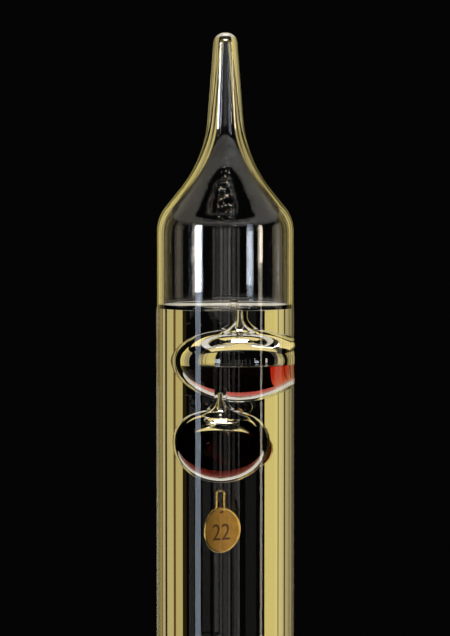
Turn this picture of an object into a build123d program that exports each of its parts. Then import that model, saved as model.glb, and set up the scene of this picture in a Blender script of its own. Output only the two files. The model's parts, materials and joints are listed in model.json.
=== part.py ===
from build123d import *

import os
from math import atan2, cos, degrees, radians, sin, tan
from typing import NamedTuple

# A sealed glass thermometer with weighted floats. The tube holds a clear liquid that grows
# thinner as it warms, and each float sinks at its own temperature, which its tag would name.
# Millimetres, +Z up, origin at the middle of the foot's underside.

# Clearances
side_gap = 0.3  # between a bulb and the tube's bore
pass_gap = 0.35  # between a hanging link and the bulb that it passes
film_gap = 0.05  # between a liquid and the glass that holds it
wetted_gap = 0.15  # between the clear liquid and a float
floor_gap = 0.3  # below the lowest tag
neck_gap = 1.25  # between a neck's tip and the tag that hangs above it
wire_play = 0.1  # between a link's wire and what it hangs in

# Blown bulbs
bulb_radius = 11.5
crown_slope = 18.0  # degrees, of the flattened crown
crown_round = 9.0  # of the shoulder between the widest ring and the crown
belt_height = 0.2  # of the widest ring
bulb_wall = 0.8
neck_radius = 1.4
neck_flare = 4.5  # where the crown runs up into the neck
neck_bore = 0.6  # radius of the hollow that is left in the drawn neck
neck_seal = 1.5  # solid glass at the tip
seal_round = 1.2  # of the melted tip
eye_radius = 1.5  # of the glass eye under the bulb, along the middle of its rod
eye_rod = 0.55
eye_bar = 0.8  # straight length of the rod on which the wire hangs

# Wire links and brass tags
link_bend = 1.1  # of the wire's middle line
link_side = 4.2  # straight length between the two bends
link_wire = 0.25
link_opening = 0.3  # between the ends of the wire
tag_radius = 6.5
tag_plate = 0.3
tag_border = 0.45  # thickness of the struck border
tag_border_width = 0.6
tag_hole_play = 0.2  # round the wire
tag_hole_margin = 0.3  # between the hole and the border

# Tube. The lines of its wall, shoulder and neck meet at two corners, which are then rounded.
tube_wall = 1.6
air_height = 26.6  # from the liquid up to the corner of wall and shoulder
shoulder_bend = 12.4
shoulder_rise = 17.0  # from there up to the corner of shoulder and neck
neck_length = 35.8  # from there up to the tip
neck_root_radius = 6.05
neck_bend = 33.6
spout_radius = 3.3  # at the sealed end
spout_wall = 2.2  # glass that gathers as the neck is drawn out
spout_round = 3.2
floor_bend = 14.0
floor_wall = 2.0
inner_drop = 0.8  # of the shoulder's lines on the inside, where the glass is thicker

# Foot
foot_radius = 29.0
foot_edge = 3.6
foot_height = 6.5
foot_bend = 1.4
foot_seat = 6.5  # radius of the flat on which the tube is fused
foot_hollow = 16.0  # where the foot's slope starts

# Clear liquid
meniscus = 1.2  # height and width of the rim of liquid that creeps up the glass
meniscus_curve = 2.0

# Heights of the floats
risen_tip = 2.3  # of the top float's neck, above the surface
risen_drop = 22.6  # from the top float to the one under it
swim_room = 26.4  # between the second float's tag and the neck of the float below
top_neck = 17.9  # from the top float's widest ring to its tip
second_neck = 16.0
lowest_neck = 15.5  # of the three sunk floats

# Each piece of a hanging tag is placed from the bulb's widest ring
eye_drop = bulb_radius + eye_radius
bar_drop = eye_drop + eye_radius
upper_bend_drop = bar_drop - eye_rod - wire_play - link_wire + link_bend
lower_bend_drop = upper_bend_drop + link_side
hole_drop = lower_bend_drop + link_bend
hole_radius = link_wire + tag_hole_play
tag_drop = hole_drop + tag_radius - tag_border_width - tag_hole_margin - hole_radius
hang = tag_drop + tag_radius

# The bore is as wide as two neighbouring floats need to pass a link between them
float_offset = (bulb_radius + link_bend + link_wire + pass_gap) / 2
bore_radius = float_offset + bulb_radius + side_gap
tube_radius = bore_radius + tube_wall
floor_height = foot_height + floor_wall

# The floats stand on each other's room from the floor up, and the tube is as tall as they need
sunk_pitch = (hang + lowest_neck + neck_gap) / 2
lowest_height = floor_height + floor_gap + hang
third_height = lowest_height + 2 * sunk_pitch
second_height = third_height + lowest_neck + swim_room + hang
top_height = second_height + risen_drop
surface_height = top_height + top_neck - risen_tip
shoulder_height = surface_height + air_height
neck_root_height = shoulder_height + shoulder_rise
tube_height = neck_root_height + neck_length


class Float(NamedTuple):
    azimuth: float  # of its axis round the tube, in degrees
    height: float  # of the bulb's widest ring
    neck: float  # from there up to the tip
    fill: float  # level of the dyed liquid, from there
    turn: float  # of the tag's face about the vertical, in degrees

    @property
    def centre(self):
        angle = radians(self.azimuth)
        return (float_offset * cos(angle), float_offset * sin(angle), self.height)


def facing(azimuth, other):
    # The turn of a tag that lies flat between its own float's axis and another float's.
    own = radians(azimuth)
    beside = radians(other)
    return degrees(atan2(sin(own) - sin(beside), cos(own) - cos(beside))) - 90


# From the top float down, each beside the one before it
azimuths = [68, -100, 76, -96, 92]
heights = [
    top_height,
    second_height,
    third_height,
    lowest_height + sunk_pitch,
    lowest_height,
]
necks = [top_neck, second_neck, lowest_neck, lowest_neck, lowest_neck]
fills = [-1.0, 3.0, 1.5, 2.0, 2.6]
turns = [
    facing(azimuths[0], azimuths[1]),
    50,
    facing(azimuths[2], azimuths[3]),
    facing(azimuths[3], azimuths[4]),
    20,
]
floats = [Float(*row) for row in zip(azimuths, heights, necks, fills, turns)]


def upright_plane(place, turn=0.0):
    # Through a float's axis, along the face of its tag and of its eye, or turned from there.
    angle = radians(place.turn + turn)
    return Plane(
        origin=place.centre,
        x_dir=(cos(angle), sin(angle), 0),
        z_dir=(sin(angle), -cos(angle), 0),
    )


def tube_form(bottom, wall, spout_wall, drop):
    # The tube's turned form, smaller by one wall up to the shoulder and by another in the neck.
    radius = tube_radius - wall
    root_radius = neck_root_radius - spout_wall
    end_radius = spout_radius - spout_wall
    top = tube_height - spout_wall
    with BuildPart() as form:
        with BuildSketch(Plane.XZ):
            with BuildLine():
                outline = FilletPolyline(
                    (0, bottom),
                    (radius, bottom),
                    (radius, shoulder_height - drop),
                    (root_radius, neck_root_height - drop),
                    (end_radius, top),
                    (0, top),
                    radius=[
                        floor_bend - wall,
                        shoulder_bend - wall,
                        neck_bend + spout_wall,
                        spout_round - spout_wall,
                    ],
                )
                Line(outline @ 1, outline @ 0)
            make_face()
        revolve(axis=Axis.Z)
    return form.part


def blown_form(place, inset, stem_radius, tip_height, tip_round):
    # The bulb's turned form, smaller by inset all round, with a stem drawn up from its crown.
    upright = upright_plane(place)
    radius = bulb_radius - inset
    shoulder = crown_round - inset
    corner = belt_height + shoulder * tan(radians(90 - crown_slope) / 2)
    root = corner + (radius - stem_radius) * tan(radians(crown_slope))
    with BuildPart() as form:
        with BuildSketch(upright):
            with BuildLine():
                CenterArc((0, 0), radius, -90, 90)
                crown = FilletPolyline(
                    (radius, 0),
                    (radius, corner),
                    (stem_radius, root),
                    (stem_radius, tip_height),
                    (0, tip_height),
                    radius=[shoulder, neck_flare + inset, tip_round],
                )
                Line(crown @ 1, (0, -radius))
            make_face()
        revolve(axis=Axis(place.centre, (0, 0, 1)))
    return form.part


os.makedirs("parts", exist_ok=True)


def write(piece, name):
    piece.label = name
    export_step(piece, f"parts/{name}.step")


# Tube, drawn out to a sealed spout
with BuildPart() as glass_tube:
    add(tube_form(foot_height, 0, 0, 0))
    add(tube_form(floor_height, tube_wall, spout_wall, inner_drop), mode=Mode.SUBTRACT)
write(glass_tube.part, "glass_tube")

# Pressed foot, which slopes up to the flat under the tube
with BuildPart() as glass_foot:
    with BuildSketch(Plane.XZ):
        with BuildLine():
            Polyline(
                (0, foot_height),
                (0, 0),
                (foot_radius, 0),
                (foot_radius, foot_edge),
                (foot_hollow, foot_edge),
                (foot_seat, foot_height),
                (0, foot_height),
            )
        make_face()
    revolve(axis=Axis.Z)
    rim = glass_foot.edges().filter_by(GeomType.CIRCLE).group_by(SortBy.RADIUS)[-1]
    fillet(rim, foot_bend)
write(glass_foot.part, "glass_foot")

# Floats: a blown bulb with a glass eye, its dyed liquid, a wire link and a brass tag
for number, place in enumerate(floats, 1):
    face = upright_plane(place)
    across = upright_plane(place, 90)

    with BuildPart() as bulb:
        add(blown_form(place, 0, neck_radius, place.neck, seal_round))
        add(
            blown_form(place, bulb_wall, neck_bore, place.neck - neck_seal, neck_bore / 2),
            mode=Mode.SUBTRACT,
        )
        with BuildLine(face):
            bar = Line((-eye_bar / 2, -bar_drop), (eye_bar / 2, -bar_drop))
            CenterArc((eye_bar / 2, -eye_drop), eye_radius, -90, 180)
            Line((eye_bar / 2, -bulb_radius), (-eye_bar / 2, -bulb_radius))
            CenterArc((-eye_bar / 2, -eye_drop), eye_radius, 90, 180)
        with BuildSketch(Plane(bar @ 0, z_dir=bar % 0)):
            Circle(eye_rod)
        sweep()
    write(bulb.part, f"float_{number}_bulb")

    with BuildPart() as dyed:
        add(blown_form(place, bulb_wall + film_gap, neck_bore, place.neck, neck_bore / 2))
        level = Plane.XY.offset(place.height + place.fill)
        split(bisect_by=level, keep=Keep.BOTTOM)
    write(dyed.part, f"float_{number}_liquid")

    with BuildPart() as link:
        with BuildLine(across) as bent:
            half_way = -(upper_bend_drop + lower_bend_drop) / 2
            Line((link_bend, half_way + link_opening / 2), (link_bend, -upper_bend_drop))
            CenterArc((0, -upper_bend_drop), link_bend, 0, 180)
            Line((-link_bend, -upper_bend_drop), (-link_bend, -lower_bend_drop))
            CenterArc((0, -lower_bend_drop), link_bend, 180, 180)
            Line((link_bend, -lower_bend_drop), (link_bend, half_way - link_opening / 2))
        with BuildSketch(Plane(bent.line @ 0, z_dir=bent.line % 0)):
            Circle(link_wire)
        sweep()
    write(link.part, f"float_{number}_link")

    with BuildPart() as tag:
        with BuildSketch(face):
            with Locations((0, -tag_drop)):
                Circle(tag_radius)
        extrude(amount=tag_border / 2, both=True)
        for side in (-1, 1):
            with BuildSketch(face.offset(side * tag_plate / 2)):
                with Locations((0, -tag_drop)):
                    Circle(tag_radius - tag_border_width)
            extrude(amount=side * (tag_border - tag_plate) / 2, mode=Mode.SUBTRACT)
        with BuildSketch(face):
            with Locations((0, -hole_drop)):
                Circle(hole_radius)
        extrude(amount=tag_border, both=True, mode=Mode.SUBTRACT)
    write(tag.part, f"float_{number}_tag")

# Clear liquid, which creeps up the glass at its surface and leaves room for every float
with BuildPart() as filling_liquid:
    wetted_radius = bore_radius - film_gap
    with BuildSketch(Plane.XZ):
        with BuildLine():
            wetted = FilletPolyline(
                (0, floor_height + film_gap),
                (wetted_radius, floor_height + film_gap),
                (wetted_radius, surface_height + meniscus),
                radius=floor_bend - tube_wall - film_gap,
            )
            rim = RadiusArc(
                wetted @ 1, (wetted_radius - meniscus, surface_height), meniscus_curve
            )
            Polyline(rim @ 1, (0, surface_height), wetted @ 0)
        make_face()
    revolve(axis=Axis.Z)
    for place in floats:
        face = upright_plane(place)
        across = upright_plane(place, 90)
        add(
            blown_form(
                place,
                -wetted_gap,
                neck_radius + wetted_gap,
                place.neck + wetted_gap,
                seal_round,
            ),
            mode=Mode.SUBTRACT,
        )
        with BuildSketch(face):
            with Locations((0, -eye_drop)):
                SlotCenterToCenter(eye_bar, 2 * (eye_radius + eye_rod + wetted_gap))
        extrude(amount=eye_rod + wetted_gap, both=True, mode=Mode.SUBTRACT)
        with BuildSketch(across):
            with Locations((0, -(upper_bend_drop + lower_bend_drop) / 2)):
                Rectangle(
                    2 * (link_bend + link_wire + wetted_gap),
                    link_side + 2 * (link_bend + link_wire + wetted_gap),
                )
        extrude(amount=link_wire + wetted_gap, both=True, mode=Mode.SUBTRACT)
        with BuildSketch(face):
            with Locations((0, -tag_drop)):
                Circle(tag_radius + wetted_gap)
        extrude(amount=tag_border / 2 + wetted_gap, both=True, mode=Mode.SUBTRACT)
write(filling_liquid.part, "filling_liquid")
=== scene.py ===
import json
from math import atan2, cos, pi, radians, sin, tan

import bpy
from mathutils import Matrix, Vector


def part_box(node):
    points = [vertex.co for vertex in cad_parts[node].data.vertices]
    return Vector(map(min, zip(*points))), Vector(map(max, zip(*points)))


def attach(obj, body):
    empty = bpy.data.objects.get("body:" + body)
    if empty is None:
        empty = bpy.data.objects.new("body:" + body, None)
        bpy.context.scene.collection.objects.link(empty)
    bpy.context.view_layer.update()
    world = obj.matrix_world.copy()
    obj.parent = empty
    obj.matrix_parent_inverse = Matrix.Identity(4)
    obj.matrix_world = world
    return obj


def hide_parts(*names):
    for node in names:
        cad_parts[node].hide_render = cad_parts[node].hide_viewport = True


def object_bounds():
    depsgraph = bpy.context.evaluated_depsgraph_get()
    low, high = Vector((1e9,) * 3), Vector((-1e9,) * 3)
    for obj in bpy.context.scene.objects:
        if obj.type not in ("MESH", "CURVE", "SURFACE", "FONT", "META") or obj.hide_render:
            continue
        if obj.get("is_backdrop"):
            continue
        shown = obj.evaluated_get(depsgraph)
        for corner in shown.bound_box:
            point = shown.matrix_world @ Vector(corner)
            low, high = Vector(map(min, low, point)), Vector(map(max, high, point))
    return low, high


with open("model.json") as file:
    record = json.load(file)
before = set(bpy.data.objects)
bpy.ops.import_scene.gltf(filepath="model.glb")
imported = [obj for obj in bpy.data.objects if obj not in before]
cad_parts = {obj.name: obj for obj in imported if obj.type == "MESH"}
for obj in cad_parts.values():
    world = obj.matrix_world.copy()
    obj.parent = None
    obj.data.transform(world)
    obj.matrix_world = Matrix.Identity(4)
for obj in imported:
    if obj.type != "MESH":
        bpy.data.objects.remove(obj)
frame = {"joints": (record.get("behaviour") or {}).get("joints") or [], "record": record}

cadLow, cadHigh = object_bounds()
mm = 0.001

# Indices of refraction. A surface between two clear things takes the ratio of their two indices.
glassIndex, sodaIndex, liquidIndex, dyeIndex = 1.47, 1.52, 1.43, 1.36
# Two clear surfaces never lie in one place: a liquid stands this far inside its wall
film = 0.01 * mm
# Points of a turned form that lie closer than this, as on its axis, become one
weld = 0.002 * mm


def linear(hexColour, alpha=1.0):
    # An sRGB hex colour as the linear values that a node wants
    parts = [int(hexColour[i:i + 2], 16) / 255 for i in (1, 3, 5)]
    return (*[c / 12.92 if c <= 0.04045 else ((c + 0.055) / 1.055) ** 2.4 for c in parts], alpha)


def addNode(tree, kind, inputs=None, **settings):
    node = tree.nodes.new(kind)
    for name, value in settings.items():
        setattr(node, name, value)
    for socket, value in (inputs or {}).items():
        if isinstance(value, bpy.types.NodeSocket):
            tree.links.new(value, node.inputs[socket])
        else:
            node.inputs[socket].default_value = value
    return node


# Camera: a little above the object's level, with a long lens, since the tube's sides look parallel
shot = {
    "pixelsPerMm": 3.4625,
    "width": 450,
    "height": 636,
    "axisX": 225.5,  # pixel column of the tube's axis
    "tipY": 33,  # pixel row of the sealed tip
    "distance": 1.2,
    "elevation": 3.0,
    "clipStart": 0.05,
}
mmHigh = shot["height"] / shot["pixelsPerMm"]
aim = Vector((
    (shot["width"] / 2 - shot["axisX"]) / shot["pixelsPerMm"] * mm,
    0,
    cadHigh.z - (shot["height"] / 2 - shot["tipY"]) / shot["pixelsPerMm"] * mm,
))
tilt = radians(shot["elevation"])
back = Vector((0, -cos(tilt), sin(tilt)))
camera = bpy.data.objects.new("camera", bpy.data.cameras.new("camera"))
bpy.context.scene.collection.objects.link(camera)
camera.location = aim + back * shot["distance"]
camera.rotation_mode = "QUATERNION"
camera.rotation_quaternion = (-back).to_track_quat("-Z", "Y")
camera.data.lens = camera.data.sensor_width * shot["distance"] / (mmHigh * mm)
camera.data.clip_start = shot["clipStart"]
bpy.context.scene.camera = camera
bpy.context.scene.view_settings.view_transform = "Standard"
print("camera set")


# Materials
def glassMaterial(name, index, ripple=0, rippleSize=None, tint="#FFFFFF", dye=None):
    # Clear glass or liquid. ripple is the height in mm of its faint waves, and rippleSize their
    # size across and along the axis in mm. A dye is (colour that is left, mm that it takes).
    # A surface with the index 1 only bounds what it holds: light goes straight through it.
    material = bpy.data.materials.new(name)
    material.use_nodes = True
    tree = material.node_tree
    tree.nodes.clear()
    shader = addNode(tree, "ShaderNodeBsdfPrincipled", {
        "Base Color": linear(tint), "Roughness": 0.0, "IOR": index, "Transmission Weight": 1.0})
    if ripple:
        place = addNode(tree, "ShaderNodeTexCoord")
        stretch = addNode(tree, "ShaderNodeMapping", {
            "Vector": place.outputs["Object"],
            "Scale": (1 / (rippleSize[0] * mm), 1 / (rippleSize[0] * mm), 1 / (rippleSize[1] * mm))})
        waves = addNode(tree, "ShaderNodeTexNoise", {
            "Vector": stretch.outputs["Vector"], "Scale": 1.0, "Detail": 1.0, "Roughness": 0.4})
        bump = addNode(tree, "ShaderNodeBump", {
            "Height": waves.outputs["Fac"], "Strength": 1.0, "Distance": ripple * mm})
        tree.links.new(bump.outputs["Normal"], shader.inputs["Normal"])
    output = addNode(tree, "ShaderNodeOutputMaterial", {"Surface": shader.outputs["BSDF"]})
    if dye:
        colour, depth = dye
        absorb = addNode(tree, "ShaderNodeVolumeAbsorption", {
            "Color": linear(colour), "Density": 1 / (depth * mm)})
        tree.links.new(absorb.outputs["Volume"], output.inputs["Volume"])
    return material


def metalMaterial(name, bright, dull, roughness, grainMm, pitMm, pitDepthMm=0.02):
    # Metal whose colour runs between two tones in soft patches, with fine pits. The bright patches
    # are smoother than the given roughness, and the dull ones rougher.
    smoothest, roughest = roughness * 0.7, roughness * 1.5
    material = bpy.data.materials.new(name)
    material.use_nodes = True
    tree = material.node_tree
    tree.nodes.clear()
    place = addNode(tree, "ShaderNodeTexCoord")
    patches = addNode(tree, "ShaderNodeTexNoise", {
        "Vector": place.outputs["Object"], "Scale": 1 / (grainMm * mm), "Detail": 4.0})
    tones = addNode(tree, "ShaderNodeMix", {
        "Factor": patches.outputs["Fac"]}, data_type="RGBA")
    # Its sockets 6 and 7 are the two colours, and its output 2 is their mix
    tones.inputs[6].default_value = linear(bright)
    tones.inputs[7].default_value = linear(dull)
    rough = addNode(tree, "ShaderNodeMapRange", {
        "Value": patches.outputs["Fac"], "To Min": smoothest, "To Max": roughest})
    pits = addNode(tree, "ShaderNodeTexNoise", {
        "Vector": place.outputs["Object"], "Scale": 1 / (pitMm * mm), "Detail": 2.0})
    bump = addNode(tree, "ShaderNodeBump", {
        "Height": pits.outputs["Fac"], "Strength": 0.5, "Distance": pitDepthMm * mm})
    shader = addNode(tree, "ShaderNodeBsdfPrincipled", {
        "Base Color": tones.outputs[2], "Metallic": 1.0, "Roughness": rough.outputs["Result"],
        "Normal": bump.outputs["Normal"]})
    addNode(tree, "ShaderNodeOutputMaterial", {"Surface": shader.outputs["BSDF"]})
    return material


# Drawn borosilicate tube: clear, with faint streaks along the way that it was drawn
drawn = {"ripple": 0.012, "rippleSize": (2.6, 110.0)}
drawnGlass = glassMaterial("borosilicateDrawn", glassIndex, **drawn)
wettedGlass = glassMaterial("borosilicateWetted", glassIndex / liquidIndex)
# Pressed soda glass of the foot: thicker, softly uneven, a breath of green
pressedGlass = glassMaterial("sodaGlassPressed", sodaIndex, 0.02, (9.0, 9.0), tint="#F4FAF6")
# Lamp-blown bulbs: thin, with a slow swirl where the glass ran
blownDry = glassMaterial("borosilicateBlownInside", glassIndex, 0.004, (4.0, 4.0))
blownWet = glassMaterial("borosilicateBlownUnderLiquid", glassIndex / liquidIndex)
blownDyed = glassMaterial("borosilicateBlownOnDye", glassIndex / dyeIndex)
# Paraffin liquid, clear as water. Its sides are bounded by the glass, which does the bending there.
liquidTop = glassMaterial("paraffinSurface", liquidIndex)
liquidSide = glassMaterial("paraffinBody", 1.0)
dropletMaterial = glassMaterial("paraffinDroplet", liquidIndex)
# Dyed spirit, deeper in colour where it is thicker. By float: hue, colour left, mm that it takes
dyes = {
    1: ("redOrange", "#F04404", 4.6),
    2: ("amber", "#C04A0C", 2.4),
    3: ("yellow", "#E8B41E", 6.0),
    4: ("green", "#2E9A48", 6.0),
    5: ("blue", "#2458B8", 6.0),
}
# Stamped yellow brass: warm, lighter and smoother on the border, dark on the figures
brassPlate = metalMaterial("brassStamped", "#CFA24C", "#94692A", 0.3, 2.5, 0.25)
brassRim = metalMaterial("brassLightBorder", "#F0D080", "#D0A450", 0.16, 2.5, 0.25)
brassFigure = metalMaterial("brassTarnished", "#6E4E22", "#4A3416", 0.45, 1.2, 0.2)
brassWire = metalMaterial("brassWire", "#E0B65E", "#A87E3A", 0.2, 1.5, 0.3)
print("materials made")


# Outlines
def rounded(points, radii, step=0.12):
    # A line through points whose inner corners are turned with those radii, step radians a piece
    line = [Vector(points[0])]
    for before, corner, after, radius in zip(points, points[1:], points[2:], radii):
        corner = Vector(corner)
        arriving = (corner - Vector(before)).normalized()
        leaving = (Vector(after) - corner).normalized()
        turn = arriving.angle_signed(leaving)
        if not radius:
            line.append(corner)
            continue
        start = corner - arriving * radius * tan(abs(turn) / 2)
        side = 1 if turn < 0 else -1
        centre = start + Vector((-arriving.y, arriving.x)) * radius * side
        pieces = max(3, round(abs(turn) / step))
        for i in range(pieces + 1):
            arm = Matrix.Rotation(side * abs(turn) * i / pieces, 2) @ (start - centre)
            line.append(centre + arm)
    line.append(Vector(points[-1]))
    return line


def divided(line, longest):
    # The same line with its long straight pieces divided
    out = [line[0]]
    for a, b in zip(line, line[1:]):
        pieces = max(1, int((b - a).length / longest))
        out += [a.lerp(b, (i + 1) / pieces) for i in range(pieces)]
    return out


def turnedTree():
    # Turns an outline, given as edges in the XZ plane, round an upright axis
    tree = bpy.data.node_groups.new("turnedForm", "GeometryNodeTree")
    face = tree.interface
    face.new_socket("Outline", in_out="INPUT", socket_type="NodeSocketGeometry")
    face.new_socket("Segments", in_out="INPUT", socket_type="NodeSocketInt")
    face.new_socket("Axis", in_out="INPUT", socket_type="NodeSocketVector")
    face.new_socket("Finish", in_out="INPUT", socket_type="NodeSocketMaterial")
    face.new_socket("Form", in_out="OUTPUT", socket_type="NodeSocketGeometry")
    given = addNode(tree, "NodeGroupInput")
    count = addNode(tree, "GeometryNodeAttributeDomainSize", {"Geometry": given.outputs["Outline"]})
    rings = addNode(tree, "ShaderNodeMath", {0: given.outputs["Segments"], 1: 1.0}, operation="ADD")
    grid = addNode(tree, "GeometryNodeMeshGrid", {
        "Vertices X": count.outputs["Point Count"], "Vertices Y": rings.outputs[0]})
    index = addNode(tree, "GeometryNodeInputIndex")
    row = addNode(tree, "ShaderNodeMath", {0: index.outputs[0], 1: rings.outputs[0]}, operation="DIVIDE")
    row = addNode(tree, "ShaderNodeMath", {0: row.outputs[0]}, operation="FLOOR")
    column = addNode(tree, "ShaderNodeMath", {0: index.outputs[0], 1: rings.outputs[0]}, operation="MODULO")
    share = addNode(tree, "ShaderNodeMath", {
        0: column.outputs[0], 1: given.outputs["Segments"]}, operation="DIVIDE")
    angle = addNode(tree, "ShaderNodeMath", {0: share.outputs[0], 1: 2 * pi}, operation="MULTIPLY")
    here = addNode(tree, "GeometryNodeInputPosition")
    point = addNode(tree, "GeometryNodeSampleIndex", {
        "Geometry": given.outputs["Outline"], "Index": row.outputs[0]}, data_type="FLOAT_VECTOR")
    tree.links.new(here.outputs[0], point.inputs["Value"])
    spun = addNode(tree, "ShaderNodeVectorRotate", {
        "Vector": point.outputs["Value"], "Angle": angle.outputs[0]}, rotation_type="Z_AXIS")
    moved = addNode(tree, "ShaderNodeVectorMath", {
        0: spun.outputs[0], 1: given.outputs["Axis"]}, operation="ADD")
    placed = addNode(tree, "GeometryNodeSetPosition", {
        "Geometry": grid.outputs["Mesh"], "Position": moved.outputs[0]})
    closed = addNode(tree, "GeometryNodeMergeByDistance", {
        "Geometry": placed.outputs[0], "Distance": weld})
    real = addNode(tree, "GeometryNodeRealizeInstances", {"Geometry": closed.outputs[0]})
    painted = addNode(tree, "GeometryNodeSetMaterial", {
        "Geometry": real.outputs[0], "Material": given.outputs["Finish"]})
    addNode(tree, "NodeGroupOutput", {"Form": painted.outputs[0]})
    return tree


def sweptTree():
    # Draws a round wire along a path of edges
    tree = bpy.data.node_groups.new("drawnWire", "GeometryNodeTree")
    face = tree.interface
    face.new_socket("Path", in_out="INPUT", socket_type="NodeSocketGeometry")
    face.new_socket("Radius", in_out="INPUT", socket_type="NodeSocketFloat")
    face.new_socket("Sides", in_out="INPUT", socket_type="NodeSocketInt")
    face.new_socket("Finish", in_out="INPUT", socket_type="NodeSocketMaterial")
    face.new_socket("Wire", in_out="OUTPUT", socket_type="NodeSocketGeometry")
    given = addNode(tree, "NodeGroupInput")
    path = addNode(tree, "GeometryNodeMeshToCurve", {"Mesh": given.outputs["Path"]})
    section = addNode(tree, "GeometryNodeCurvePrimitiveCircle", {
        "Resolution": given.outputs["Sides"], "Radius": given.outputs["Radius"]})
    wire = addNode(tree, "GeometryNodeCurveToMesh", {
        "Curve": path.outputs[0], "Profile Curve": section.outputs[0], "Fill Caps": True})
    real = addNode(tree, "GeometryNodeRealizeInstances", {"Geometry": wire.outputs[0]})
    painted = addNode(tree, "GeometryNodeSetMaterial", {
        "Geometry": real.outputs[0], "Material": given.outputs["Finish"]})
    addNode(tree, "NodeGroupOutput", {"Wire": painted.outputs[0]})
    return tree


def beadedTree():
    # Strews small round beads over a wall, each pressed flat against it
    tree = bpy.data.node_groups.new("beadedWall", "GeometryNodeTree")
    face = tree.interface
    face.new_socket("Wall", in_out="INPUT", socket_type="NodeSocketGeometry")
    face.new_socket("Beads per m2", in_out="INPUT", socket_type="NodeSocketFloat")
    face.new_socket("Smallest", in_out="INPUT", socket_type="NodeSocketFloat")
    face.new_socket("Largest", in_out="INPUT", socket_type="NodeSocketFloat")
    face.new_socket("Flatness", in_out="INPUT", socket_type="NodeSocketFloat")
    face.new_socket("Seed", in_out="INPUT", socket_type="NodeSocketInt")
    face.new_socket("Finish", in_out="INPUT", socket_type="NodeSocketMaterial")
    face.new_socket("Beads", in_out="OUTPUT", socket_type="NodeSocketGeometry")
    given = addNode(tree, "NodeGroupInput")
    spots = addNode(tree, "GeometryNodeDistributePointsOnFaces", {
        "Mesh": given.outputs["Wall"], "Density": given.outputs["Beads per m2"],
        "Seed": given.outputs["Seed"]}, distribute_method="RANDOM")
    bead = addNode(tree, "GeometryNodeMeshUVSphere", {"Segments": 12, "Rings": 8, "Radius": 1.0})
    soft = addNode(tree, "GeometryNodeSetShadeSmooth", {"Geometry": bead.outputs["Mesh"]})
    radius = addNode(tree, "FunctionNodeRandomValue", {"Seed": given.outputs["Seed"]}, data_type="FLOAT")
    tree.links.new(given.outputs["Smallest"], radius.inputs[2])
    tree.links.new(given.outputs["Largest"], radius.inputs[3])
    flat = addNode(tree, "ShaderNodeMath", {
        0: radius.outputs[1], 1: given.outputs["Flatness"]}, operation="MULTIPLY")
    size = addNode(tree, "ShaderNodeCombineXYZ", {
        "X": radius.outputs[1], "Y": radius.outputs[1], "Z": flat.outputs[0]})
    beads = addNode(tree, "GeometryNodeInstanceOnPoints", {
        "Points": spots.outputs["Points"], "Instance": soft.outputs[0],
        "Rotation": spots.outputs["Rotation"], "Scale": size.outputs[0]})
    real = addNode(tree, "GeometryNodeRealizeInstances", {"Geometry": beads.outputs[0]})
    painted = addNode(tree, "GeometryNodeSetMaterial", {
        "Geometry": real.outputs[0], "Material": given.outputs["Finish"]})
    addNode(tree, "NodeGroupOutput", {"Beads": painted.outputs[0]})
    return tree


turnedForm = turnedTree()
drawnWire = sweptTree()
beadedWall = beadedTree()


def plainObject(name, mesh):
    piece = bpy.data.objects.new(name, mesh)
    bpy.context.scene.collection.objects.link(piece)
    return piece


def grown(name, points, closed, tree, values, faces=()):
    # A plain mesh that a tree makes from a line of points, or from a wall of faces
    line = bpy.data.meshes.new(name + "Line")
    edges = [] if faces else [(i, i + 1) for i in range(len(points) - 1)]
    if closed:
        edges.append((len(points) - 1, 0))
    line.from_pydata(points, edges, faces)
    piece = plainObject(name, line)
    modifier = piece.modifiers.new(tree.name, "NODES")
    modifier.node_group = tree
    for item in tree.interface.items_tree:
        if item.name in values:
            modifier[item.identifier] = values[item.name]
    piece.update_tag()
    bpy.context.view_layer.update()
    evaluated = piece.evaluated_get(bpy.context.evaluated_depsgraph_get())
    mesh = bpy.data.meshes.new_from_object(evaluated)
    mesh.name = name
    piece.modifiers.clear()
    piece.data = mesh
    bpy.data.meshes.remove(line)
    return piece


def turned(name, outline, segments, axis, finishes, zoneOf=lambda face: 0):
    # outline is (radius, height) in metres, from the bottom of the form to its top. The faces look
    # outwards. zoneOf gives the number of a face's finish.
    points = [(p.x, 0, p.y) for p in outline]
    piece = grown(name, points, False, turnedForm, {
        "Segments": segments, "Axis": (axis.x, axis.y, 0), "Finish": finishes[0]})
    mesh = piece.data
    outward = sum(
        (Vector((*f.center[:2], 0)) - Vector((axis.x, axis.y, 0))).dot(f.normal) * f.area
        for f in mesh.polygons)
    if outward < 0:
        mesh.flip_normals()
    mesh.materials.clear()
    for finish in finishes:
        mesh.materials.append(finish)
    for f in mesh.polygons:
        f.material_index = zoneOf(f)
        f.use_smooth = True
    return piece


def topAndRest(leastRise):
    # Finish 0 for faces that look up by more than leastRise, and 1 for the others
    return lambda face: 0 if face.normal.z > leastRise else 1


# Tube: one drawn wall from the rounded floor to the solid tip
tubeLow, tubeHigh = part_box("glass_tube")
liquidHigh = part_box("filling_liquid")[1]
meniscus = {"rise": 1.2 * mm, "curve": 2.0 * mm, "steps": 10}
surface = liquidHigh.z - meniscus["rise"]
tube = {
    "wall": 1.6 * mm,
    "air": 26.6 * mm,  # from the liquid up to the corner of wall and shoulder
    "shoulderRise": 17.0 * mm,
    "shoulderBend": 12.4 * mm,
    "neckRoot": 6.05 * mm,
    "neckBend": 33.6 * mm,
    "spout": 3.3 * mm,
    "spoutWall": 2.2 * mm,
    "spoutRound": 3.2 * mm,
    "floorBend": 14.0 * mm,
    "floorWall": 2.0 * mm,
    "innerDrop": 0.8 * mm,  # the inner shoulder lies this much below the outer one
    "segments": 160,
    "longest": 8 * mm,
}
tubeRadius = tubeHigh.x
boreRadius = tubeRadius - tube["wall"]
shoulder = surface + tube["air"]
neckRoot = shoulder + tube["shoulderRise"]
middle = Vector((0, 0))


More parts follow.
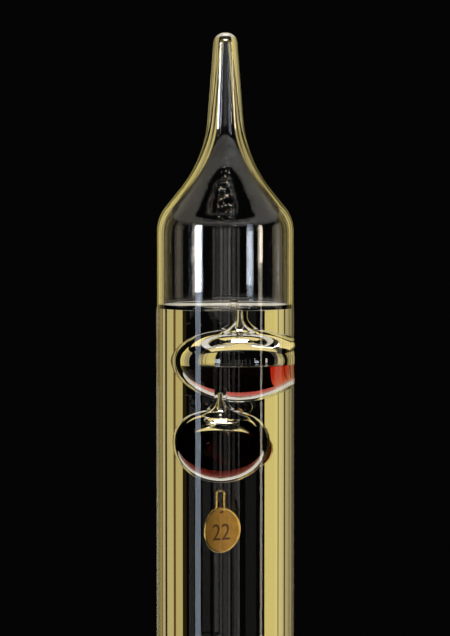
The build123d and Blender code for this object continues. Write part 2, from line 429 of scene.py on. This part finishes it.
def tubeOutline(bottom, wall, spoutWall, drop):
    top = tubeHigh.z - spoutWall
    return rounded([
        (0, bottom),
        (tubeRadius - wall, bottom),
        (tubeRadius - wall, shoulder - drop),
        (tube["neckRoot"] - spoutWall, neckRoot - drop),
        (tube["spout"] - spoutWall, top),
        (0, top),
    ], [tube["floorBend"] - wall, tube["shoulderBend"] - wall,
        tube["neckBend"] + spoutWall, tube["spoutRound"] - spoutWall], step=0.08)


outer = divided(tubeOutline(tubeLow.z, 0, 0, 0), tube["longest"])
floorTop = tubeLow.z + tube["floorWall"]
inner = tubeOutline(floorTop, tube["wall"], tube["spoutWall"], tube["innerDrop"])
# The inner wall is parted where the liquid's rim meets it
lower = [p for p in inner if p.y < liquidHigh.z]
upper = [p for p in inner if p.y > liquidHigh.z]
inner = divided(lower + [Vector((boreRadius, liquidHigh.z))] + upper, tube["longest"])
tubeGlass = turned("tubeGlass", outer, tube["segments"], middle, [drawnGlass])
hollow = turned("tubeHollow", inner, tube["segments"], middle,
                [drawnGlass, wettedGlass], lambda face: 1 if face.center.z < liquidHigh.z else 0)
hollow.data.flip_normals()


def joined(name, *others):
    # One mesh of several, with their finishes
    finishes, verts, faces, numbers, smooth = [], [], [], [], []
    for other in others:
        base = len(verts)
        verts += [v.co.copy() for v in other.data.vertices]
        for finish in other.data.materials:
            if finish not in finishes:
                finishes.append(finish)
        for f in other.data.polygons:
            faces.append([base + i for i in f.vertices])
            numbers.append(finishes.index(other.data.materials[f.material_index]))
            smooth.append(f.use_smooth)
    mesh = bpy.data.meshes.new(name)
    mesh.from_pydata(verts, [], faces)
    for finish in finishes:
        mesh.materials.append(finish)
    for f, number, soft in zip(mesh.polygons, numbers, smooth):
        f.material_index = number
        f.use_smooth = soft
    for other in others:
        old = other.data
        bpy.data.objects.remove(other)
        bpy.data.meshes.remove(old)
    return plainObject(name, mesh)


def dressed(piece, body, slot, *nodes):
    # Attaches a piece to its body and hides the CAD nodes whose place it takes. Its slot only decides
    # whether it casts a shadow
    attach(piece, body)
    # Lamps light what stands in or behind a clear piece, so it casts no shadow
    piece.visible_shadow = slot not in ("tube_glass", "bulb_glass", "clear_liquid")
    if nodes:
        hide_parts(*nodes)


dressed(joined("vesselTube", tubeGlass, hollow), "vessel", "tube_glass", "glass_tube")

# Foot: pressed disc whose top slopes up to the flat under the tube
footLow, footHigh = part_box("glass_foot")
foot = {
    "edge": 3.6 * mm,
    "bend": 1.4 * mm,
    "slope": 16.0 * mm,
    "slopeBend": 6.0 * mm,
    "seat": 6.5 * mm,
    "seatBend": 1.5 * mm,
    "longest": 4 * mm,
    "seam": 0.02 * mm,  # left under the tube, so that the two clear faces don't lie in one place
}
footOutline = rounded([
    (0, footLow.z),
    (footHigh.x, footLow.z),
    (footHigh.x, footLow.z + foot["edge"]),
    (foot["slope"], footLow.z + foot["edge"]),
    (foot["seat"], footHigh.z - foot["seam"]),
    (0, footHigh.z - foot["seam"]),
], [foot["bend"], foot["bend"], foot["slopeBend"], foot["seatBend"]], step=0.15)
footOutline = divided(footOutline, foot["longest"])
footGlass = turned("footGlass", footOutline, tube["segments"], middle, [pressedGlass])
dressed(footGlass, "vessel", "tube_glass", "glass_foot")

# Clear liquid: it creeps up the glass at its rim, and its side and floor lie on the wall
wetRadius = boreRadius - film
rimTop = Vector((wetRadius, liquidHigh.z))
rimFoot = Vector((wetRadius - meniscus["rise"], surface))
chord = rimTop - rimFoot
arm = (meniscus["curve"] ** 2 - (chord.length / 2) ** 2) ** 0.5
rimCentre = (rimTop + rimFoot) / 2 + Vector((-chord.y, chord.x)).normalized() * arm
topAngle = atan2(*(rimTop - rimCentre).yx)
footAngle = atan2(*(rimFoot - rimCentre).yx)
angles = [topAngle + (footAngle - topAngle) * i / meniscus["steps"]
          for i in range(meniscus["steps"] + 1)]
rim = [rimCentre + Vector((cos(angle), sin(angle))) * meniscus["curve"] for angle in angles]
side = rounded([
    (0, floorTop + film), (wetRadius, floorTop + film), rimTop,
], [tube["floorBend"] - tube["wall"]], step=0.08)
liquidOutline = divided(side[:-1] + rim + [Vector((0, surface))], tube["longest"])
clearLiquid = turned("clearLiquid", liquidOutline, tube["segments"], middle,
                     [liquidTop, liquidSide], topAndRest(leastRise=0.05))
dressed(clearLiquid, "vessel", "clear_liquid", "filling_liquid")

# Beads of condensed liquid on the glass above it
beads = {
    "low": 20.0 * mm,  # above the liquid
    "high": 44.0 * mm,
    # direction and half width in degrees, beads per square metre and seed
    "strips": [(-90, 9, 7.0e5, 11), (-100, 60, 3.0e4, 12)],
    "smallest": 0.07 * mm,
    "largest": 0.22 * mm,
    "flatness": 0.55,
    "steps": 12,
}


def beadStrip(name, direction, halfWidth, density, seed):
    # The beads on a strip of the inner wall, which is drawn in by the size of the largest of them
    rows = [p for p in inner if surface + beads["low"] < p.y < surface + beads["high"]]
    turns = [radians(direction + halfWidth * (2 * i / beads["steps"] - 1))
             for i in range(beads["steps"] + 1)]
    points = [((p.x - beads["largest"]) * cos(turn), (p.x - beads["largest"]) * sin(turn), p.y)
              for p in rows for turn in turns]
    across = len(turns)
    faces = [(r * across + i, r * across + i + 1, (r + 1) * across + i + 1, (r + 1) * across + i)
             for r in range(len(rows) - 1) for i in range(across - 1)]
    return grown(name, points, False, beadedWall, {
        "Beads per m2": density, "Smallest": beads["smallest"], "Largest": beads["largest"],
        "Flatness": beads["flatness"], "Seed": seed, "Finish": dropletMaterial}, faces)


strips = [beadStrip(f"beads{i}", *strip) for i, strip in enumerate(beads["strips"])]
dressed(joined("condensedBeads", *strips), "vessel", "clear_liquid")
print("vessel made")

# Floats: blown bulbs whose crown runs up into a drawn neck, with a glass eye below
bulb = {
    "radius": 11.5 * mm,
    "crownSlope": radians(18),
    "crownRound": 9.0 * mm,
    "belt": 0.2 * mm,
    "wall": 0.8 * mm,
    "neck": 1.4 * mm,
    "flare": 4.5 * mm,
    "bore": 0.6 * mm,
    "seal": 1.5 * mm,
    "sealRound": 1.2 * mm,
    "eye": 1.5 * mm,
    "eyeRod": 0.55 * mm,
    "eyeBar": 0.8 * mm,  # straight stretch on which the wire hangs
    "eyeSteps": 24,
    "eyeSides": 16,
    "quarterSteps": 24,
    "segments": 120,
    "longest": 3 * mm,
}


def bulbOutline(base, inset, stem, tip, tipRound):
    # The bulb's skin or, with an inset, its lining. base is the height of the round part's middle.
    radius = bulb["radius"] - inset
    shoulder = bulb["crownRound"] - inset
    corner = base + bulb["belt"] + shoulder * tan((pi / 2 - bulb["crownSlope"]) / 2)
    root = corner + (radius - stem) * tan(bulb["crownSlope"])
    angles = [i * pi / (2 * bulb["quarterSteps"]) for i in range(bulb["quarterSteps"])]
    lower = [Vector((radius * sin(angle), base - radius * cos(angle))) for angle in angles]
    crown = rounded([
        (radius, base), (radius, corner), (stem, root), (stem, tip), (0, tip),
    ], [shoulder, bulb["flare"] + inset, tipRound], step=0.07)
    return lower + crown


def glassEye(name, eyeMiddle, along, finish):
    # A closed loop of glass rod, straight above and below, where the wire hangs
    upward = Vector((0, 0, 1))
    points = []
    for end in (1, -1):
        for i in range(bulb["eyeSteps"] + 1):
            angle = end * pi / 2 - i * pi / bulb["eyeSteps"]
            points.append(
                eyeMiddle + along * (end * bulb["eyeBar"] / 2 + cos(angle) * bulb["eye"])
                + upward * sin(angle) * bulb["eye"])
    return grown(name, points, True, drawnWire, {
        "Radius": bulb["eyeRod"], "Sides": bulb["eyeSides"], "Finish": finish})


link = {
    "bend": 1.1 * mm,
    "bendSteps": 12,
    "side": 4.2 * mm,
    "wire": 0.25 * mm,
    "wireSides": 14,
    "opening": 0.3 * mm,
}


def linkRoute(axis, across, upper):
    # An oval of wire, open in the middle of one side. upper is the height of its upper bend's middle.
    lower = upper - link["side"]
    half = (upper + lower) / 2
    turns = [i * pi / link["bendSteps"] for i in range(link["bendSteps"] + 1)]
    route = [(link["bend"], half + link["opening"] / 2)]
    route += [(link["bend"] * cos(angle), upper + link["bend"] * sin(angle)) for angle in turns]
    route += [(-link["bend"] * cos(angle), lower - link["bend"] * sin(angle)) for angle in turns]
    route += [(link["bend"], half - link["opening"] / 2)]
    return [Vector((*axis, height)) + across * reach for reach, height in route]


tag = {
    "radius": 6.5 * mm,
    "plate": 0.3 * mm,
    "plateInset": 0.3 * mm,  # the plate's edge lies inside the border
    "border": 0.45 * mm,
    "borderWidth": 0.6 * mm,
    "borderBevel": 0.08 * mm,
    "figures": {1: "24", 2: "22", 3: "20", 4: "18", 5: "26"},
    "textSize": 6.75 * mm,  # its figures stand about 5 mm tall
    "figureRise": 0.05 * mm,
    "figureDrop": 0.8 * mm,  # below the tag's middle, clear of the hole
    "holePlay": 0.2 * mm,
    "holeMargin": 0.3 * mm,
}
joints = {j["name"]: j for j in frame["joints"]}
slots = {s["node"]: s["material_slot"] for s in frame["record"]["subparts"]}
# Length of a Bezier handle that makes a quarter circle of radius 1
circleHandle = 0.5523


def flatRound(name, circles, depth, finish, matrix, bevel=0.0):
    # A flat plate bounded by circles (x, y, radius), as thick as depth, placed by the matrix
    curve = bpy.data.curves.new(name, "CURVE")
    curve.dimensions = "2D"
    curve.fill_mode = "BOTH"
    curve.extrude = depth / 2 - bevel
    curve.bevel_depth = bevel
    curve.offset = -bevel
    curve.bevel_resolution = 1
    curve.resolution_u = 24
    for x, y, radius in circles:
        spline = curve.splines.new("BEZIER")
        spline.bezier_points.add(3)
        reach = radius * circleHandle
        for i, point in enumerate(spline.bezier_points):
            along = Vector((cos(i * pi / 2), sin(i * pi / 2), 0))
            across = Vector((-along.y, along.x, 0)) * reach
            point.co = Vector((x, y, 0)) + along * radius
            point.handle_left = point.co - across
            point.handle_right = point.co + across
        spline.use_cyclic_u = True
    return settled(name, curve, finish, matrix)


def settled(name, curve, finish, matrix):
    # The curve or text as a mesh, placed in its own points
    source = plainObject(name, curve)
    bpy.context.view_layer.update()
    evaluated = source.evaluated_get(bpy.context.evaluated_depsgraph_get())
    mesh = bpy.data.meshes.new_from_object(evaluated)
    bpy.data.objects.remove(source)
    mesh.name = name
    mesh.transform(matrix)
    mesh.materials.clear()
    mesh.materials.append(finish)
    return plainObject(name, mesh)


def figure(name, words, size, rise, finish, matrix):
    # Figures that stand out of the matrix's XY plane by rise
    curve = bpy.data.curves.new(name, "FONT")
    curve.body = words
    curve.size = size
    curve.align_x = "CENTER"
    curve.align_y = "CENTER"
    curve.extrude = rise
    curve.resolution_u = 4
    return settled(name, curve, finish, matrix)


for number in dyes:
    low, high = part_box(f"float_{number}_bulb")
    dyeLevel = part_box(f"float_{number}_liquid")[1].z
    axis = Vector(((low.x + high.x) / 2, (low.y + high.y) / 2))
    base = low.z + bulb["radius"] + 2 * bulb["eye"] + bulb["eyeRod"]
    face = Vector(joints[f"link_{number}_swing"]["axis"])  # along the tag's face
    normal = Vector(joints[f"tag_{number}_swing"]["axis"])  # square to it

    # Glass of the bulb, parted where the liquid outside and the dyed spirit inside end
    skin = bulbOutline(base, 0, bulb["neck"], high.z, bulb["sealRound"])
    wetted = [p for p in skin if p.y < surface]
    above = [p for p in skin if p.y > surface]
    if above:
        skin = wetted + [Vector((above[0].x, surface))] + above
    lining = bulbOutline(base, bulb["wall"], bulb["bore"], high.z - bulb["seal"], bulb["bore"] / 2)
    under = [p for p in lining if p.y < dyeLevel]
    over = [p for p in lining if p.y > dyeLevel]
    share = (dyeLevel - under[-1].y) / (over[0].y - under[-1].y)
    edge = under[-1].lerp(over[0], share)
    lining = under + [edge] + over
    outside = turned(f"bulbSkin{number}", divided(skin, bulb["longest"]), bulb["segments"], axis,
                     [blownWet, blownDry], lambda face: 1 if face.center.z > surface else 0)
    inside = turned(f"bulbLining{number}", divided(lining, bulb["longest"]), bulb["segments"], axis,
                    [blownDry, blownDyed], lambda face: 1 if face.center.z < dyeLevel else 0)
    inside.data.flip_normals()
    eyeMiddle = Vector((*axis, base - bulb["radius"] - bulb["eye"]))
    eye = glassEye(f"eye{number}", eyeMiddle, face, blownWet)
    bulbPiece = joined(f"bulb{number}", outside, inside, eye)
    dressed(bulbPiece, f"float_{number}", "bulb_glass", f"float_{number}_bulb")

    # Dyed spirit in it
    hue, colour, depth = dyes[number]
    dyeTop = glassMaterial(hue + "DyeSurface", dyeIndex, dye=(colour, depth))
    dyeSide = glassMaterial(hue + "DyeBody", 1.0, dye=(colour, depth))
    pool = [Vector((p.x - film if p.x > film else 0, p.y + film)) for p in under]
    pool += [edge - Vector((film, 0)), Vector((0, dyeLevel))]
    dyed = turned(f"dyedSpirit{number}", divided(pool, bulb["longest"]), bulb["segments"], axis,
                  [dyeTop, dyeSide], topAndRest(leastRise=0.9))
    dressed(dyed, f"float_{number}", slots[f"float_{number}_liquid"], f"float_{number}_liquid")

    # Wire link
    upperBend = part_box(f"float_{number}_link")[1].z - link["wire"] - link["bend"]
    wire = grown(f"wireLink{number}", linkRoute(axis, normal, upperBend), False, drawnWire, {
        "Radius": link["wire"], "Sides": link["wireSides"], "Finish": brassWire})
    # The wire is smooth round its length and flat at its two cut ends
    for f in wire.data.polygons:
        f.use_smooth = len(f.vertices) == 4
    dressed(wire, f"link_{number}", "wire", f"float_{number}_link")

    # Brass tag: plate, struck border and raised figures on both faces
    tagLow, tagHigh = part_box(f"float_{number}_tag")
    centre = Vector((*axis, (tagLow.z + tagHigh.z) / 2))
    place = Matrix((
        (face.x, 0, normal.x, centre.x),
        (face.y, 0, normal.y, centre.y),
        (0, 1, 0, centre.z),
        (0, 0, 0, 1),
    ))
    if place.to_3x3().determinant() < 0:
        place = place @ Matrix.Diagonal((1, 1, -1, 1))
    holeRadius = link["wire"] + tag["holePlay"]
    holeRise = tag["radius"] - tag["borderWidth"] - tag["holeMargin"] - holeRadius
    plateEdge = (0, 0, tag["radius"] - tag["plateInset"])
    hole = (0, holeRise, holeRadius)
    borderEdges = [(0, 0, tag["radius"]), (0, 0, tag["radius"] - tag["borderWidth"])]
    bits = [
        flatRound(f"tagPlate{number}", [plateEdge, hole], tag["plate"], brassPlate, place),
        flatRound(f"tagBorder{number}", borderEdges, tag["border"], brassRim, place,
                  bevel=tag["borderBevel"]),
    ]
    onFace = Matrix.Translation((0, -tag["figureDrop"], tag["plate"] / 2))
    for turn in (0, pi):
        bits.append(figure(
            f"tagFigure{number}", tag["figures"][number], tag["textSize"], tag["figureRise"],
            brassFigure, place @ Matrix.Rotation(turn, 4, "Y") @ onFace))
    disc = joined(f"brassTag{number}", *bits)
    dressed(disc, f"tag_{number}", "tag_brass", f"float_{number}_tag")
print("floats made")

# Floor, backdrop and lamps. Lengths are in metres and angles in degrees.
studio = {
    "floorRadius": 0.55,
    "floorSides": 120,
    "floorDrop": 0.0002,
    "floorColour": "#D9D6D0",
    "floorRoughness": 0.7,
    "backdrop": "#050505",  # seen directly, mirrored and through the glass
    "fill": 0.35,  # strength of the white light from all round on matt surfaces
}


def lamp(name, azimuth, height, distance, width, tall, colour, strength, aimHeight=None):
    # A soft panel that faces the object, upright unless it aims at another height. Azimuth 0 is
    # behind the object as photographed and grows to the right. Strength 1 is white.
    data = bpy.data.lights.new(name, "AREA")
    data.shape = "RECTANGLE"
    data.size = width
    data.size_y = tall
    data.color = linear(colour)[:3]
    data.energy = strength * pi * width * tall
    lampObject = bpy.data.objects.new(name, data)
    bpy.context.scene.collection.objects.link(lampObject)
    angle = radians(azimuth)
    lampObject.location = (distance * sin(angle), distance * cos(angle), height)
    lampObject.rotation_mode = "QUATERNION"
    aimed = Vector((0, 0, height if aimHeight is None else aimHeight))
    lampObject.rotation_quaternion = (aimed - lampObject.location).to_track_quat("-Z", "Y")
    lampObject.visible_camera = False


# Two walls of upright panels behind the object, whose tones the liquid bends into gold streaks
panels = {
    "distance": 0.9,
    "height": 0.22,
    "tall": 0.9,
    "narrow": 21,  # degrees from straight behind
    "wide": 58,
    # tone, strength and share of the wall, from the middle outwards
    "right": [("#5E4A22", 0.14, 0.6), ("#F0DA88", 0.56, 1.3), ("#A8823C", 0.28, 0.5),
              ("#F2DE90", 0.60, 1.8), ("#7A5E2A", 0.17, 0.7), ("#F5E6A6", 0.54, 1.0),
              ("#C8AC5C", 0.32, 0.6), ("#DCC274", 0.38, 1.4)],
    "left": [("#F8E488", 0.70, 2.6), ("#C8A650", 0.38, 0.3), ("#F8E694", 0.62, 1.6),
             ("#9C7C3A", 0.22, 0.5), ("#F6E6A4", 0.48, 1.1), ("#F0DC94", 0.40, 0.8),
             ("#B8984C", 0.26, 0.4), ("#F4E6B0", 0.38, 1.2)],
}
for sign, hand in ((1, "right"), (-1, "left")):
    degreesPerShare = (panels["wide"] - panels["narrow"]) / sum(share for *_, share in panels[hand])
    start = panels["narrow"]
    for i, (tone, strength, share) in enumerate(panels[hand]):
        spread = degreesPerShare * share
        width = 2 * panels["distance"] * tan(radians(spread / 2))
        lamp(f"panel{hand.title()}{i}", sign * (start + spread / 2), panels["height"],
             panels["distance"], width, panels["tall"], tone, strength)
        start += spread

lamps = {
    # In front, which the outer wall mirrors as two upright highlights
    "softboxLeft": {
        "azimuth": -134, "height": 0.32, "distance": 0.8, "width": 0.16, "tall": 0.3,
        "colour": "#E4EFFF", "strength": 46.0},
    "softboxLeftLow": {
        "azimuth": -134, "height": 0.06, "distance": 0.8, "width": 0.14, "tall": 0.22,
        "colour": "#DCEBFF", "strength": 5.0},
    "softboxRight": {
        "azimuth": 119, "height": 0.33, "distance": 0.9, "width": 0.09, "tall": 0.3,
        "colour": "#FFF3DC", "strength": 20.0},
    "softboxRightLow": {
        "azimuth": 119, "height": 0.04, "distance": 0.9, "width": 0.07, "tall": 0.28,
        "colour": "#FFF3DC", "strength": 5.0},
    # Overhead for the raised rim of the liquid, and above and behind for the bulbs' crowns
    "softboxTop": {
        "azimuth": 0, "height": 0.95, "distance": 0.15, "width": 0.34, "tall": 0.34,
        "colour": "#FFF6E6", "strength": 8.0, "aimHeight": surface},
    "cardAboveBehind": {
        "azimuth": 0, "height": 0.95, "distance": 0.6, "width": 0.9, "tall": 0.5,
        "colour": "#F2DC92", "strength": 1.0, "aimHeight": surface},
}
for name, values in lamps.items():
    lamp(name, **values)

# Uneven strips in front, which the brass mirrors, and a warm panel at its side
fillFront = {
    "distance": 1.7,
    "height": 0.25,
    "tall": 0.9,
    "colour": "#F4F1EA",
    # azimuth, width and strength
    "strips": [(158, 0.10, 0.5), (167, 0.16, 0.3), (174, 0.09, 0.8), (180, 0.20, 0.35),
               (188, 0.11, 0.7), (197, 0.20, 0.2)],
}
for i, (azimuth, width, strength) in enumerate(fillFront["strips"]):
    lamp(f"fillFront{i}", azimuth, fillFront["height"], fillFront["distance"], width,
         fillFront["tall"], fillFront["colour"], strength)
lamp("fillSide", azimuth=82, height=0.2, distance=0.9, width=0.3, tall=0.5,
     colour="#FFF0D0", strength=0.9)

world = bpy.data.worlds.new("studioRoom")
bpy.context.scene.world = world
world.use_nodes = True
room = world.node_tree
room.nodes.clear()
rays = addNode(room, "ShaderNodeLightPath")
seen = addNode(room, "ShaderNodeMath", {
    0: rays.outputs["Is Camera Ray"], 1: rays.outputs["Is Glossy Ray"]}, operation="MAXIMUM")
seen = addNode(room, "ShaderNodeMath", {
    0: seen.outputs[0], 1: rays.outputs["Is Transmission Ray"]}, operation="MAXIMUM")
dark = addNode(room, "ShaderNodeBackground", {"Color": linear(studio["backdrop"]), "Strength": 1.0})
fill = addNode(room, "ShaderNodeBackground", {"Color": linear("#FFFFFF"), "Strength": studio["fill"]})
both = addNode(room, "ShaderNodeMixShader", {0: seen.outputs[0], 1: fill.outputs[0], 2: dark.outputs[0]})
addNode(room, "ShaderNodeOutputWorld", {"Surface": both.outputs[0]})

floorMesh = bpy.data.meshes.new("floor")
sides = range(studio["floorSides"])
turns = [2 * i * pi / studio["floorSides"] for i in sides]
ring = [(studio["floorRadius"] * cos(angle), studio["floorRadius"] * sin(angle), -studio["floorDrop"])
        for angle in turns]
floorMesh.from_pydata(ring, [], [list(sides)])
floor = plainObject("floor", floorMesh)
floorMaterial = bpy.data.materials.new("paleFloor")
floorMaterial.use_nodes = True
floorMaterial.node_tree.nodes.clear()
matt = addNode(floorMaterial.node_tree, "ShaderNodeBsdfPrincipled", {
    "Base Color": linear(studio["floorColour"]), "Roughness": studio["floorRoughness"]})
addNode(floorMaterial.node_tree, "ShaderNodeOutputMaterial", {"Surface": matt.outputs[0]})
floorMesh.materials.append(floorMaterial)
floor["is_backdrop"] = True
print("studio set")

low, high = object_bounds()
